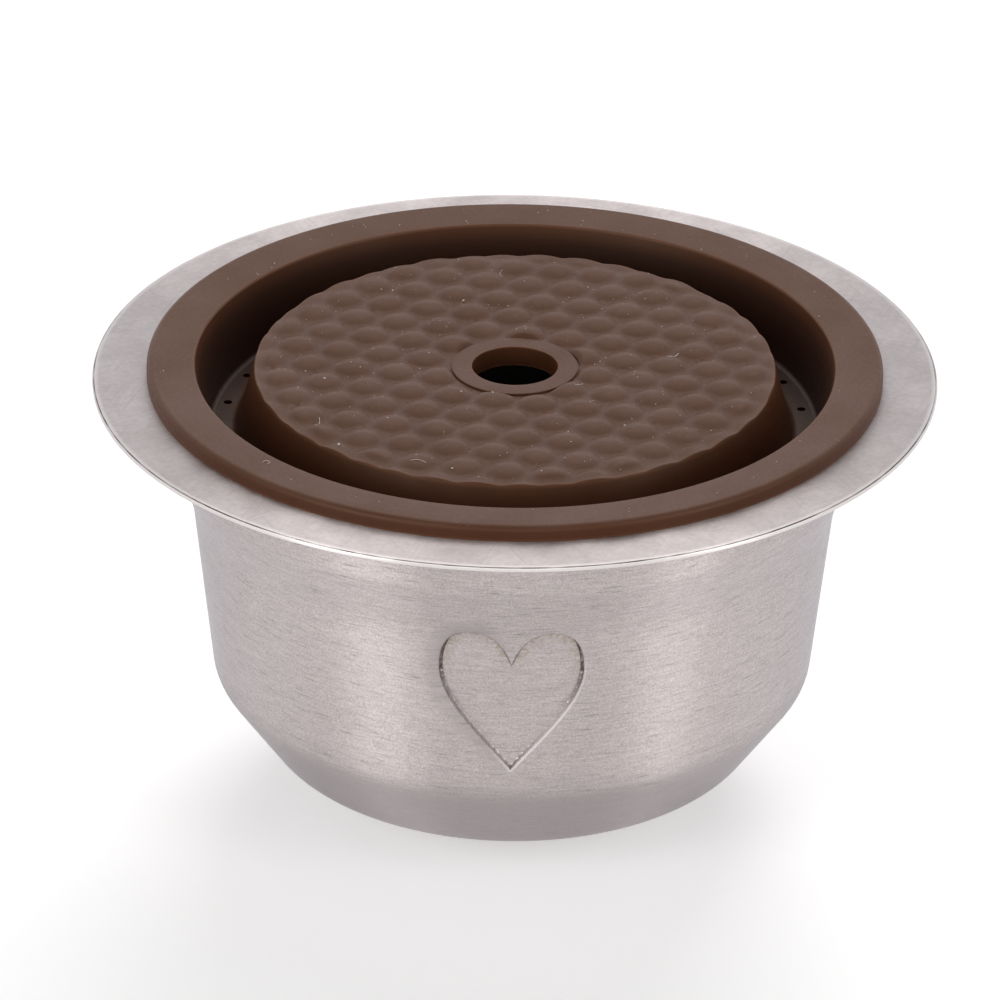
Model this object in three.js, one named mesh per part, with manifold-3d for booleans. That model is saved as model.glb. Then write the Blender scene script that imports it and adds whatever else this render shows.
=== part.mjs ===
// Refillable coffee pod: a deep-drawn steel cup with a wide flange, and a moulded silicone lid plugged into it.
// Millimetres, +Z up. The origin is the centre of the cup's flat base.
import * as THREE from 'three';
import { mergeVertices } from 'three/addons/utils/BufferGeometryUtils.js';
import Module from 'manifold-3d';

// Cup: one sheet of steel, sized on its outside face. Depths run down from the top of the flange.
const CUP_HEIGHT = 32.8;
const SHEET = 0.35;
const FLANGE_RADIUS = 31;
const MOUTH_RADIUS = 25.75;
const MOUTH_BEND = 0.6;
const SEAT_DEPTH = 5.2;
const SEAT_RADIUS = 25.35;
const SEAT_BEND = 2.5;
const WALL_TOP_DEPTH = 9.3;
const WALL_TOP_RADIUS = 23.77;
const WALL_TOP_BEND = 9;
const SHOULDER_DEPTH = 23.35;
const SHOULDER_RADIUS = 22.22;
const SHOULDER_BEND = 2.4;
const CONE_DEPTH = 29.3;
const CONE_RADIUS = 18.02;
const CONE_BEND = 3.8;
const BASE_RADIUS = 11.8;
const BASE_BEND = 5;

// Mark pressed into the front wall: a plain heart with its middle at MARK_DEPTH.
const MARK_WIDTH = 10.4;
const MARK_HEIGHT = 11.8;
const MARK_DEPTH = 15;
const MARK_PRESS = 0.42;

// Lid: heights and depths run from the top of the flange, where its rim lies.
const RIM_RADIUS = 27;
const RIM_HEIGHT = 1.2;
const RIM_DISH = 0.25;
const RIM_ROUND = 0.45;
const RIM_INNER_RADIUS = 23.48;
const TROUGH_DEPTH = 4.45;
const TROUGH_OUTER_RADIUS = 22.5;
const TROUGH_INNER_RADIUS = 20.5;
const TROUGH_FILLET = 0.45;
const BOSS_RADIUS = 19.1;
const BOSS_HEIGHT = 0.4;
const PLATE_THICKNESS = 1.4;
const SKIN = 1.5;
const EDGE_ROUND = 0.2;
const PLUG_LEAD = 0.55;
const PLUG_CLEARANCE = 0.3;

// Small drain holes round the floor of the trough.
const DRAIN_COUNT = 29;
const DRAIN_RADIUS = 0.32;
const DRAIN_START = THREE.MathUtils.degToRad(9.2);
const DRAIN_SIDES = 6;

// Domes on a triangular lattice over the raised middle, and the flat ring round the bore.
const DOME_PITCH = 3.2;
const DOME_HEIGHT = 0.3;
const DOME_BASE_RADIUS = 1.5;
const DOME_ROW_ANGLE = THREE.MathUtils.degToRad(-11.5);
const DOME_ORIGIN = new THREE.Vector2(-0.33, 0.1);
const DOME_STEPS = 3;
const RING_RADIUS = 4.65;
const RING_HEIGHT = 0.22;
const RING_GROOVE = 0.12;
const BORE_RADIUS = 3.15;

// Fineness of the turned shapes.
const SEGMENTS = 48;
const BEND_STEP = THREE.MathUtils.degToRad(20);
const CUT_MARGIN = 1;

const wasm = await Module();
wasm.setup();

function corner(radius, height, bend = 0) {
  return { at: new THREE.Vector2(radius, height), bend };
}

// Points along an arc that rounds the corner at b between a and c.
function roundedCorner(a, b, c, bend) {
  const back = a.clone().sub(b).normalize();
  const ahead = c.clone().sub(b).normalize();
  const half = Math.acos(THREE.MathUtils.clamp(back.dot(ahead), -1, 1)) / 2;
  const turn = Math.PI - 2 * half;
  if (bend === 0 || turn < 1e-6) return [b.clone()];
  const reach = bend / Math.tan(half);
  const centre = b.clone().add(back.clone().add(ahead).normalize().multiplyScalar(bend / Math.sin(half)));
  const start = b.clone().addScaledVector(back, reach).sub(centre);
  const side = Math.sign(start.cross(b.clone().addScaledVector(ahead, reach).sub(centre)));
  const steps = Math.max(1, Math.ceil(turn / BEND_STEP));
  return Array.from({ length: steps + 1 }, (_, i) =>
    start.clone().rotateAround(new THREE.Vector2(), (side * turn * i) / steps).add(centre));
}

// Outline through the corners, each rounded by its own bend; the first and last stay sharp.
function roundedPath(corners) {
  return corners.flatMap(({ at, bend }, i) => {
    const inside = i > 0 && i < corners.length - 1;
    return inside ? roundedCorner(corners[i - 1].at, at, corners[i + 1].at, bend) : [at.clone()];
  });
}

// The same path moved to its left by a distance, as the other face of a bent sheet.
function offsetPath(points, distance) {
  const normal = (a, b) => new THREE.Vector2(a.y - b.y, b.x - a.x).normalize();
  return points.map((point, i) => {
    const before = normal(points[Math.max(i - 1, 0)], points[Math.max(i, 1)]);
    const after = normal(points[Math.min(i, points.length - 2)], points[Math.min(i + 1, points.length - 1)]);
    const middle = before.clone().add(after).normalize();
    return point.clone().addScaledVector(middle, distance / middle.dot(before));
  });
}

// A solid from a three.js geometry, its faces turned outwards if they point in.
function solid(geometry) {
  const bare = geometry.index ? geometry.toNonIndexed() : geometry.clone();
  bare.deleteAttribute('normal');
  bare.deleteAttribute('uv');
  const merged = mergeVertices(bare, 1e-5);
  const triangles = [];
  const index = merged.index.array;
  for (let i = 0; i < index.length; i += 3) {
    const [a, b, c] = index.slice(i, i + 3);
    if (a !== b && b !== c && c !== a) triangles.push(a, b, c);
  }
  const build = (faces) => new wasm.Manifold(new wasm.Mesh({
    numProp: 3,
    vertProperties: new Float32Array(merged.attributes.position.array),
    triVerts: new Uint32Array(faces),
  }));
  const made = build(triangles);
  return made.volume() > 0 ? made : build(triangles.reverse());
}

function geometryOf(shape) {
  const mesh = shape.getMesh();
  const geometry = new THREE.BufferGeometry();
  geometry.setAttribute('position', new THREE.BufferAttribute(new Float32Array(mesh.vertProperties), 3));
  geometry.setIndex(new THREE.BufferAttribute(new Uint32Array(mesh.triVerts), 1));
  geometry.computeVertexNormals();
  return geometry;
}

// A section in radius and height turned round the Z axis.
function turned(section) {
  return solid(new THREE.LatheGeometry(section, SEGMENTS).rotateX(Math.PI / 2));
}

// Everything under a path that runs from the axis outwards and up to a given height.
function filledUnder(path, top) {
  const last = path[path.length - 1];
  return turned([...path, new THREE.Vector2(last.x, top), new THREE.Vector2(0, top)]);
}

function drum(radius, bottom, top, sides = SEGMENTS) {
  const shape = new THREE.CylinderGeometry(radius, radius, top - bottom, sides);
  return solid(shape.rotateX(Math.PI / 2).translate(0, 0, (bottom + top) / 2));
}

// Outside face of the sheet, from the middle of the base to the edge of the flange.
function cupPath() {
  const at = (radius, depth, bend) => corner(radius, CUP_HEIGHT - depth, bend);
  return roundedPath([
    corner(0, 0),
    corner(BASE_RADIUS, 0, BASE_BEND),
    at(CONE_RADIUS, CONE_DEPTH, CONE_BEND),
    at(SHOULDER_RADIUS, SHOULDER_DEPTH, SHOULDER_BEND),
    at(WALL_TOP_RADIUS, WALL_TOP_DEPTH, WALL_TOP_BEND),
    at(SEAT_RADIUS, SEAT_DEPTH, SEAT_BEND),
    at(MOUTH_RADIUS, SHEET, MOUTH_BEND),
    at(FLANGE_RADIUS, SHEET),
  ]);
}

// Heart outline in the XY plane, its middle at the origin, larger all round by the given amount.
function heartShape(grow = 0) {
  const x = MARK_WIDTH / 2 + grow;
  const y = MARK_HEIGHT / 2 + grow;
  const notch = y * 0.52 + grow;
  return new THREE.Shape()
    .moveTo(0, -y)
    .bezierCurveTo(x * 0.42, -y * 0.5, x, -y * 0.02, x, y * 0.46)
    .bezierCurveTo(x, y * 0.88, x * 0.78, y, x * 0.56, y)
    .bezierCurveTo(x * 0.3, y, x * 0.08, y * 0.8, 0, notch)
    .bezierCurveTo(-x * 0.08, y * 0.8, -x * 0.3, y, -x * 0.56, y)
    .bezierCurveTo(-x * 0.78, y, -x, y * 0.88, -x, y * 0.46)
    .bezierCurveTo(-x, -y * 0.02, -x * 0.42, -y * 0.5, 0, -y);
}

// The heart as a bar that runs from the cup's axis out through the front wall.
function heartBar(grow) {
  const bar = new THREE.ExtrudeGeometry(heartShape(grow), {
    depth: FLANGE_RADIUS,
    bevelEnabled: false,
    curveSegments: 5,
  });
  return solid(bar.rotateX(Math.PI / 2).translate(0, 0, CUP_HEIGHT - MARK_DEPTH));
}

// A block bounded by the sheet's outside face moved inwards by a distance.
function bodyInside(distance) {
  return filledUnder(offsetPath(cupPath(), distance), CUP_HEIGHT + CUT_MARGIN);
}

// The sheet keeps its thickness at the mark: pressed in outside, standing out inside.
function steelCup() {
  const outside = cupPath();
  const shell = turned([...outside, ...offsetPath(outside, SHEET).reverse()]);
  const pressed = heartBar(0).subtract(bodyInside(MARK_PRESS));
  const raised = heartBar(SHEET).intersect(bodyInside(SHEET / 2)).subtract(bodyInside(MARK_PRESS + SHEET));
  return shell.add(raised).subtract(pressed);
}

// Radius at which a rising path passes a height.
function radiusAt(path, height) {
  const i = path.findIndex((point, at) => at > 0 && point.y >= height);
  const [below, above] = [path[i - 1], path[i]];
  return THREE.MathUtils.mapLinear(height, below.y, above.y, below.x, above.x);
}

// Moulded section of the lid, from the bore's lower edge round the outside and back over the top.
function lidSection() {
  const at = (radius, height, bend) => corner(radius, CUP_HEIGHT + height, bend);
  const plateUnder = BOSS_HEIGHT - PLATE_THICKNESS;
  const foot = -TROUGH_DEPTH - SKIN;
  const lead = foot + PLUG_LEAD * 2;
  const seat = offsetPath(cupPath(), SHEET + PLUG_CLEARANCE);
  return roundedPath([
    at(BORE_RADIUS, plateUnder),
    at(BOSS_RADIUS - SKIN, plateUnder, TROUGH_FILLET),
    at(TROUGH_INNER_RADIUS - SKIN, foot),
    at(radiusAt(seat, CUP_HEIGHT + foot) - PLUG_LEAD, foot),
    at(radiusAt(seat, CUP_HEIGHT + lead), lead),
    at(Math.max(MOUTH_RADIUS - SHEET - PLUG_CLEARANCE, radiusAt(seat, CUP_HEIGHT + lead)), 0),
    at(RIM_RADIUS, 0),
    at(RIM_RADIUS, RIM_HEIGHT, RIM_ROUND),
    at(RIM_INNER_RADIUS, RIM_HEIGHT - RIM_DISH, EDGE_ROUND),
    at(TROUGH_OUTER_RADIUS, -TROUGH_DEPTH, TROUGH_FILLET),
    at(TROUGH_INNER_RADIUS, -TROUGH_DEPTH, TROUGH_FILLET),
    at(BOSS_RADIUS, BOSS_HEIGHT),
    at(BORE_RADIUS, BOSS_HEIGHT),
    at(BORE_RADIUS, plateUnder),
  ]);
}

// Height of the domed surface over the boss top at a place in the lattice.
function domeRise(steps) {
  const along = steps.x / DOME_STEPS;
  const across = steps.y / DOME_STEPS;
  const near = [Math.floor(along), Math.floor(along) + 1].flatMap((u) =>
    [Math.floor(across), Math.floor(across) + 1].map((v) => latticePoint(along - u, across - v).length()));
  const away = Math.min(...near, DOME_BASE_RADIUS);
  const ball = (DOME_BASE_RADIUS ** 2 + DOME_HEIGHT ** 2) / (2 * DOME_HEIGHT);
  return Math.sqrt(ball ** 2 - away ** 2) - (ball - DOME_HEIGHT);
}

// Distance in millimetres for a step in the triangular lattice.
function latticePoint(along, across) {
  return new THREE.Vector2(
    DOME_PITCH * (along + across / 2),
    DOME_PITCH * across * Math.sin(Math.PI / 3),
  );
}

// Pad of domes: a grid over the lattice lifted by the domes, closed by a flat underside.
function domePad() {
  const reach = Math.ceil((BOSS_RADIUS / DOME_PITCH + 2) * DOME_STEPS * 1.2);
  const radius = BOSS_RADIUS + DOME_PITCH / 2;
  const place = new Map();
  const points = [];
  const add = (u, v) => {
    const key = `${u},${v}`;
    if (!place.has(key)) {
      const spot = latticePoint(u / DOME_STEPS, v / DOME_STEPS);
      spot.rotateAround(new THREE.Vector2(), DOME_ROW_ANGLE).add(DOME_ORIGIN);
      place.set(key, points.length);
      points.push({ spot, rise: domeRise(new THREE.Vector2(u, v)) });
    }
    return place.get(key);
  };
  const faces = [];
  const keep = (...nodes) => {
    const ids = nodes.map(([u, v]) => add(u, v));
    if (ids.every((id) => points[id].spot.length() < radius)) faces.push(ids);
  };
  for (let u = -reach; u < reach; u++) {
    for (let v = -reach; v < reach; v++) {
      keep([u, v], [u + 1, v], [u, v + 1]);
      keep([u + 1, v], [u + 1, v + 1], [u, v + 1]);
    }
  }
  return solid(slabGeometry(points, faces));
}

// Closes a lifted grid with a flat underside and a wall along its open edges.
function slabGeometry(points, faces) {
  const top = ({ spot, rise }) => [spot.x, spot.y, CUP_HEIGHT + BOSS_HEIGHT + rise];
  const under = ({ spot }) => [spot.x, spot.y, CUP_HEIGHT + BOSS_HEIGHT - PLATE_THICKNESS / 2];
  const edges = new Set(faces.flatMap(([a, b, c]) => [`${a},${b}`, `${b},${c}`, `${c},${a}`]));
  const corners = [];
  faces.forEach(([a, b, c]) => {
    corners.push(...top(points[a]), ...top(points[b]), ...top(points[c]));
    corners.push(...under(points[c]), ...under(points[b]), ...under(points[a]));
  });
  edges.forEach((edge) => {
    const [a, b] = edge.split(',').map(Number);
    if (edges.has(`${b},${a}`)) return;
    corners.push(...top(points[b]), ...top(points[a]), ...under(points[a]));
    corners.push(...top(points[b]), ...under(points[a]), ...under(points[b]));
  });
  const geometry = new THREE.BufferGeometry();
  geometry.setAttribute('position', new THREE.Float32BufferAttribute(corners, 3));
  return geometry;
}

// The boss's drafted side carried on upwards, so that it cuts the outer domes into a scalloped edge.
function bossTrim() {
  const draft = (TROUGH_INNER_RADIUS - BOSS_RADIUS) / (TROUGH_DEPTH + BOSS_HEIGHT);
  const plateTop = CUP_HEIGHT + BOSS_HEIGHT;
  const rise = DOME_HEIGHT + CUT_MARGIN;
  return turned([
    new THREE.Vector2(0, plateTop - PLATE_THICKNESS),
    new THREE.Vector2(BOSS_RADIUS - EDGE_ROUND, plateTop - PLATE_THICKNESS),
    new THREE.Vector2(BOSS_RADIUS, plateTop),
    new THREE.Vector2(BOSS_RADIUS - draft * rise, plateTop + rise),
    new THREE.Vector2(0, plateTop + rise),
  ]);
}

// Thin through holes in the floor of the trough.
function drains() {
  const middle = (TROUGH_OUTER_RADIUS + TROUGH_INNER_RADIUS) / 2;
  const top = CUP_HEIGHT - TROUGH_DEPTH + CUT_MARGIN;
  const bottom = CUP_HEIGHT - TROUGH_DEPTH - SKIN - CUT_MARGIN;
  return Array.from({ length: DRAIN_COUNT }, (_, i) => {
    const angle = DRAIN_START + (i * 2 * Math.PI) / DRAIN_COUNT;
    return drum(DRAIN_RADIUS, bottom, top, DRAIN_SIDES).translate(
      [middle * Math.cos(angle), middle * Math.sin(angle), 0]);
  });
}

function siliconeLid() {
  const plateTop = CUP_HEIGHT + BOSS_HEIGHT;
  const ringTop = plateTop + RING_HEIGHT;
  const middle = drum(RING_RADIUS + RING_GROOVE, plateTop - PLATE_THICKNESS, ringTop + CUT_MARGIN);
  const padding = domePad().intersect(bossTrim()).subtract(middle);
  const ring = drum(RING_RADIUS, plateTop - PLATE_THICKNESS / 2, ringTop);
  const bore = drum(BORE_RADIUS, plateTop - PLATE_THICKNESS - CUT_MARGIN, ringTop + CUT_MARGIN);
  const moulding = turned(lidSection()).add(padding).add(ring).subtract(bore);
  return drains().reduce((lid, drain) => lid.subtract(drain), moulding);
}

function named(name, shape, color, roughness, metalness) {
  const mesh = new THREE.Mesh(geometryOf(shape), new THREE.MeshStandardMaterial({ color, roughness, metalness }));
  mesh.name = name;
  return mesh;
}

const pod = new THREE.Group();
pod.add(named('steel_cup', steelCup(), 0xc9c2c1, 0.34, 1));
pod.add(named('silicone_lid', siliconeLid(), 0x6b5048, 0.62, 0));

export default pod;
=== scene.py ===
import math

import bpy
import numpy as np
from mathutils import Matrix, Vector


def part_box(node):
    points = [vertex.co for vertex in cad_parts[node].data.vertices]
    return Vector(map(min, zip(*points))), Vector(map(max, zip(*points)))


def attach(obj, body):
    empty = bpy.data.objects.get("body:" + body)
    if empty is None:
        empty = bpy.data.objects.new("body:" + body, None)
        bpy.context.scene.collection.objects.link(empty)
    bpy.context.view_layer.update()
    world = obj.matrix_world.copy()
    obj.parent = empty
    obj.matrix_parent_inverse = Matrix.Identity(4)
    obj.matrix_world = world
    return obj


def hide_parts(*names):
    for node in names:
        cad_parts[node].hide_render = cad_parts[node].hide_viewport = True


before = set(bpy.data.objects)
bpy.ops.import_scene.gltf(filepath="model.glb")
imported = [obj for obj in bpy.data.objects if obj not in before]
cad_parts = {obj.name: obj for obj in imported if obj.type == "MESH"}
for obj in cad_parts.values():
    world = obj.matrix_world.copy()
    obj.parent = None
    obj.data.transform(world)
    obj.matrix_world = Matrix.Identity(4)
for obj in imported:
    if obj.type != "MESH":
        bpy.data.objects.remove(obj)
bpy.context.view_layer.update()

# Driving sizes, in metres. Depths and heights run from the top of the flange.
MM = 0.001
CUP_HIGH, LID_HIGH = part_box("steel_cup")[1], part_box("silicone_lid")[1]
CUP_HEIGHT = CUP_HIGH[2]
FLANGE_RADIUS = CUP_HIGH[0]
RIM_RADIUS = LID_HIGH[0]
# Rounding takes this much off the rim's corner, so the corner starts that much higher.
RIM_ROUND_LOSS = 0.032 * MM
RIM_HEIGHT = LID_HIGH[2] - CUP_HEIGHT + RIM_ROUND_LOSS

SHEET = 0.35 * MM
MOUTH_RADIUS, MOUTH_BEND = 25.75 * MM, 0.6 * MM
SEAT_RADIUS, SEAT_DEPTH, SEAT_BEND = 25.35 * MM, 5.2 * MM, 2.5 * MM
WALL_TOP_RADIUS, WALL_TOP_DEPTH, WALL_TOP_BEND = 23.77 * MM, 9.3 * MM, 9.0 * MM
SHOULDER_RADIUS, SHOULDER_DEPTH, SHOULDER_BEND = 22.22 * MM, 23.35 * MM, 2.4 * MM
CONE_RADIUS, CONE_DEPTH, CONE_BEND = 18.02 * MM, 29.3 * MM, 3.8 * MM
BASE_RADIUS, BASE_BEND = 11.8 * MM, 5.0 * MM
FLANGE_EDGE, FLANGE_STEP = 0.09 * MM, 0.07 * MM
STEP_RADIUS, STEP_HEIGHT = FLANGE_RADIUS - 2 * FLANGE_STEP, CUP_HEIGHT - FLANGE_STEP

MARK_WIDTH, MARK_HEIGHT = 10.4 * MM, 11.8 * MM
MARK_DEPTH = 15.0 * MM
MARK_PRESS = 0.42 * MM
MARK_STEP = 0.10 * MM
MARK_SHOULDER = 1.3 * MM
MARK_SINK, MARK_TRENCH = 0.15 * MM, 0.06 * MM
MARK_CELL = 0.087 * MM
# The distance field, in millimetres, away from the mark.
FAR_GAP = 9.0

RIM_DISH, RIM_ROUND = 0.25 * MM, 0.45 * MM
RIM_INNER_RADIUS = 23.48 * MM
TROUGH_DEPTH = 4.45 * MM
TROUGH_OUTER_RADIUS, TROUGH_INNER_RADIUS = 22.5 * MM, 20.5 * MM
TROUGH_FILLET = 0.45 * MM
BOSS_RADIUS, BOSS_HEIGHT = 19.1 * MM, 0.4 * MM
PLATE_THICKNESS, SKIN = 1.4 * MM, 1.5 * MM
EDGE_ROUND = 0.22 * MM
PLUG_LEAD, PLUG_CLEARANCE = 0.55 * MM, 0.3 * MM
RING_RADIUS, RING_HEIGHT, BORE_RADIUS = 4.65 * MM, 0.16 * MM, 3.15 * MM
RING_GROOVE = 0.08 * MM
RING_ROUND = 0.07 * MM

DRAIN_COUNT, DRAIN_RADIUS, DRAIN_START = 29, 0.32 * MM, math.radians(9.2)
DOME_PITCH, DOME_HEIGHT, DOME_REACH = 3.2 * MM, 0.46 * MM, 1.56 * MM
DOME_POWER = 1.05
DOME_EDGE_SHARE, DOME_EDGE_WIDTH = 0.4, 1.1 * MM
DOME_ROW_ANGLE = math.radians(-11.5)
DOME_ORIGIN = (-0.33 * MM, 0.1 * MM)

# Fineness of the meshes: bends, columns round the Z axis, and rows on straight stretches.
BEND_STEP, LID_BEND_STEP = math.radians(6), math.radians(10)
SHARP_ANGLE = math.radians(38)
CUP_BACK_COLUMNS, LID_COLUMNS, DRAIN_SIDES = 116, 360, 20
WALL_ROW, INSIDE_MARK_ROW, INSIDE_ROW = 0.8 * MM, 0.6 * MM, 2.0 * MM
DOME_ROW, LID_ROW = 0.21 * MM, 1.2 * MM


# Outlines

def rounded_corner(a, b, c, bend, step):
    """Points along an arc that rounds the corner at b between a and c."""
    back, ahead = (a - b).normalized(), (c - b).normalized()
    half = math.acos(max(-1.0, min(1.0, back.dot(ahead)))) / 2
    turn = math.pi - 2 * half
    if bend == 0 or turn < 1e-6:
        return [b.copy()]
    reach = bend / math.tan(half)
    centre = b + (back + ahead).normalized() * (bend / math.sin(half))
    start, end = b + back * reach - centre, b + ahead * reach - centre
    side = math.copysign(1, start.x * end.y - start.y * end.x)
    steps = max(1, math.ceil(turn / step))
    arc = [side * turn * i / steps for i in range(steps + 1)]
    return [centre + Matrix.Rotation(angle, 2) @ start for angle in arc]


def rounded_path(corners, step=BEND_STEP):
    """Outline through (radius, height, bend) corners; the first and last stay sharp."""
    spots = [Vector(corner[:2]) for corner in corners]
    bends = [corner[2] if len(corner) > 2 else 0 for corner in corners]
    path = [spots[0]]
    for i in range(1, len(spots) - 1):
        path += rounded_corner(spots[i - 1], spots[i], spots[i + 1], bends[i], step)
    return path + [spots[-1]]


def offset_path(points, distance):
    """The same path moved to its left, as the other face of a bent sheet."""
    def normal(a, b):
        return Vector((a.y - b.y, b.x - a.x)).normalized()
    last = len(points) - 1
    moved = []
    for i, point in enumerate(points):
        before = normal(points[max(i - 1, 0)], points[max(i, 1)])
        after = normal(points[min(i, last - 1)], points[min(i + 1, last)])
        middle = (before + after).normalized()
        moved.append(point + middle * (distance / middle.dot(before)))
    return moved


def divided(points, spacing):
    """Adds points along each straight stretch, no further apart than spacing(height)."""
    out = [points[0]]
    for a, b in zip(points, points[1:]):
        if (b - a).length < 1e-9:
            continue
        steps = max(1, math.ceil((b - a).length / spacing((a.y + b.y) / 2)))
        split = [a.lerp(b, i / steps) for i in range(1, steps + 1)]
        out += split
    return out


def split_for_mark(points, low, high):
    """Cuts the path's straight stretches at two heights, so that the fine rows end there."""
    out = [points[0]]
    for a, b in zip(points, points[1:]):
        cuts = [h for h in (low, high) if min(a.y, b.y) < h < max(a.y, b.y)]
        cuts.sort(key=lambda h: abs(h - a.y))
        out += [a.lerp(b, (h - a.y) / (b.y - a.y)) for h in cuts]
        out.append(b)
    return out


# Meshes

def turned_mesh(name, rows, angles, closed=False):
    """A section turned round Z. Rows on the axis become one point each."""
    verts, rings = [], []
    for point in rows:
        if point.x < 1e-9:
            rings.append([len(verts)])
            verts.append((0, 0, point.y))
            continue
        rings.append(list(range(len(verts), len(verts) + len(angles))))
        verts += [(point.x * math.cos(t), point.x * math.sin(t), point.y) for t in angles]
    faces = []
    pairs = list(zip(rings, rings[1:])) + ([(rings[-1], rings[0])] if closed else [])
    for low, high in pairs:
        for i in range(len(angles)):
            j = (i + 1) % len(angles)
            face = [low[i % len(low)], low[j % len(low)], high[j % len(high)], high[i % len(high)]]
            faces.append(list(dict.fromkeys(face)))
    mesh = bpy.data.meshes.new(name)
    mesh.from_pydata(verts, [], faces)
    mesh.update()
    return mesh


def vertex_places(mesh):
    """The mesh's points as rows of X, Y and Z."""
    place = np.empty(len(mesh.vertices) * 3)
    mesh.vertices.foreach_get("co", place)
    return place.reshape(-1, 3)


def placed(mesh):
    """A piece with the mesh as it stands, added to the scene."""
    piece = bpy.data.objects.new(mesh.name, mesh)
    bpy.context.scene.collection.objects.link(piece)
    return piece


def smoothed(mesh, angle=SHARP_ANGLE):
    """Smooth shading with the edges sharper than the angle kept crisp."""
    mesh.shade_smooth()
    mesh.set_sharp_from_angle(angle=angle)


def baked(piece):
    """Turns a piece's Geometry Nodes result into a plain mesh and drops the modifier."""
    graph = bpy.context.evaluated_depsgraph_get()
    mesh = bpy.data.meshes.new_from_object(piece.evaluated_get(graph))
    mesh.name = piece.name
    piece.modifiers.clear()
    piece.data = mesh
    return piece


# Node trees

class Tree:
    """A short way to add nodes and links to a node tree."""

    def __init__(self, tree):
        self.tree = tree

    def add(self, kind, values=None, **settings):
        node = self.tree.nodes.new(kind)
        for key, value in settings.items():
            setattr(node, key, value)
        for key, value in (values or {}).items():
            socket = node.inputs[key]
            if isinstance(value, bpy.types.NodeSocket):
                self.tree.links.new(value, socket)
            else:
                socket.default_value = value
        return node

    def math(self, operation, a, b=0.0, c=0.0):
        return self.add("ShaderNodeMath", {0: a, 1: b, 2: c}, operation=operation).outputs[0]

    def vector(self, operation, a, b=None):
        values = {0: a} if b is None else {0: a, 1: b}
        node = self.add("ShaderNodeVectorMath", values, operation=operation)
        return node.outputs["Value"] if operation == "LENGTH" else node.outputs[0]

    def link(self, source, target):
        self.tree.links.new(source, target)


def geometry_group(name, inputs):
    """A Geometry Nodes group with a mesh in, a mesh out and named sizes."""
    group = bpy.data.node_groups.new(name, "GeometryNodeTree")
    face = group.interface
    face.new_socket("Geometry", in_out="INPUT", socket_type="NodeSocketGeometry")
    for label, kind, value in inputs:
        socket = face.new_socket(label, in_out="INPUT", socket_type="NodeSocket" + kind)
        socket.default_value = value
    face.new_socket("Geometry", in_out="OUTPUT", socket_type="NodeSocketGeometry")
    tree = Tree(group)
    return group, tree, tree.add("NodeGroupInput"), tree.add("NodeGroupOutput")


def apply_group(piece, group, values):
    """Puts the group on a piece with its sizes, and bakes it."""
    modifier = piece.modifiers.new(group.name, "NODES")
    modifier.node_group = group
    sockets = {item.name: item.identifier for item in group.interface.items_tree if item.in_out == "INPUT"}
    for label, value in values.items():
        modifier[sockets[label]] = value
    return baked(piece)


def finish_group(tree, source, material, output):
    """Ends a tree in Realize Instances and Set Material."""
    real = tree.add("GeometryNodeRealizeInstances", {"Geometry": source})
    dressed = tree.add("GeometryNodeSetMaterial", {"Geometry": real.outputs[0], "Material": material})
    tree.link(dressed.outputs[0], output.inputs[0])


def dome_group(material):
    """Lifts the boss top into domes on a triangular lattice, fading out at the ring."""
    group, tree, given, output = geometry_group("domed_top", [
        ("Pitch", "Float", DOME_PITCH), ("Height", "Float", DOME_HEIGHT), ("Reach", "Float", DOME_REACH),
        ("Row Angle", "Float", DOME_ROW_ANGLE), ("Origin", "Vector", (*DOME_ORIGIN, 0)),
    ])
    place = tree.add("GeometryNodeInputPosition").outputs[0]
    weight = tree.add("GeometryNodeInputNamedAttribute", {"Name": "dome_weight"}, data_type="FLOAT")
    local = tree.vector("SUBTRACT", place, given.outputs["Origin"])
    turned = tree.add("ShaderNodeVectorRotate", {"Vector": local, "Angle": tree.math(
        "MULTIPLY", given.outputs["Row Angle"], -1.0)}, rotation_type="Z_AXIS").outputs[0]
    split = tree.add("ShaderNodeSeparateXYZ", {0: turned})
    across = tree.math("MULTIPLY", given.outputs["Pitch"], math.sqrt(3))

    def nearest(shift):
        """Distance to the nearest point of one of the lattice's two rectangular halves."""
        offsets = []
        for axis, period in ((0, given.outputs["Pitch"]), (1, across)):
            moved = tree.math("DIVIDE", split.outputs[axis], period)
            moved = tree.math("ADD", moved, shift)
            whole = tree.math("ROUND", moved)
            offsets.append(tree.math("MULTIPLY", tree.math("SUBTRACT", moved, whole), period))
        flat = tree.add("ShaderNodeCombineXYZ", {0: offsets[0], 1: offsets[1]}).outputs[0]
        return tree.vector("LENGTH", flat)

    away = tree.math("MINIMUM", nearest(0.0), nearest(0.5))
    share = tree.math("MINIMUM", tree.math("DIVIDE", away, given.outputs["Reach"]), 1.0)
    round_off = tree.math("SUBTRACT", 1.0, tree.math("POWER", share, 2.0))
    rise = tree.math("MULTIPLY", tree.math("POWER", round_off, DOME_POWER), given.outputs["Height"])
    lift = tree.add("ShaderNodeCombineXYZ", {2: tree.math("MULTIPLY", rise, weight.outputs["Attribute"])})
    lifted = tree.add("GeometryNodeSetPosition", {"Geometry": given.outputs["Geometry"],
                                                  "Offset": lift.outputs[0]})
    finish_group(tree, lifted.outputs[0], material, output)
    return group


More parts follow.
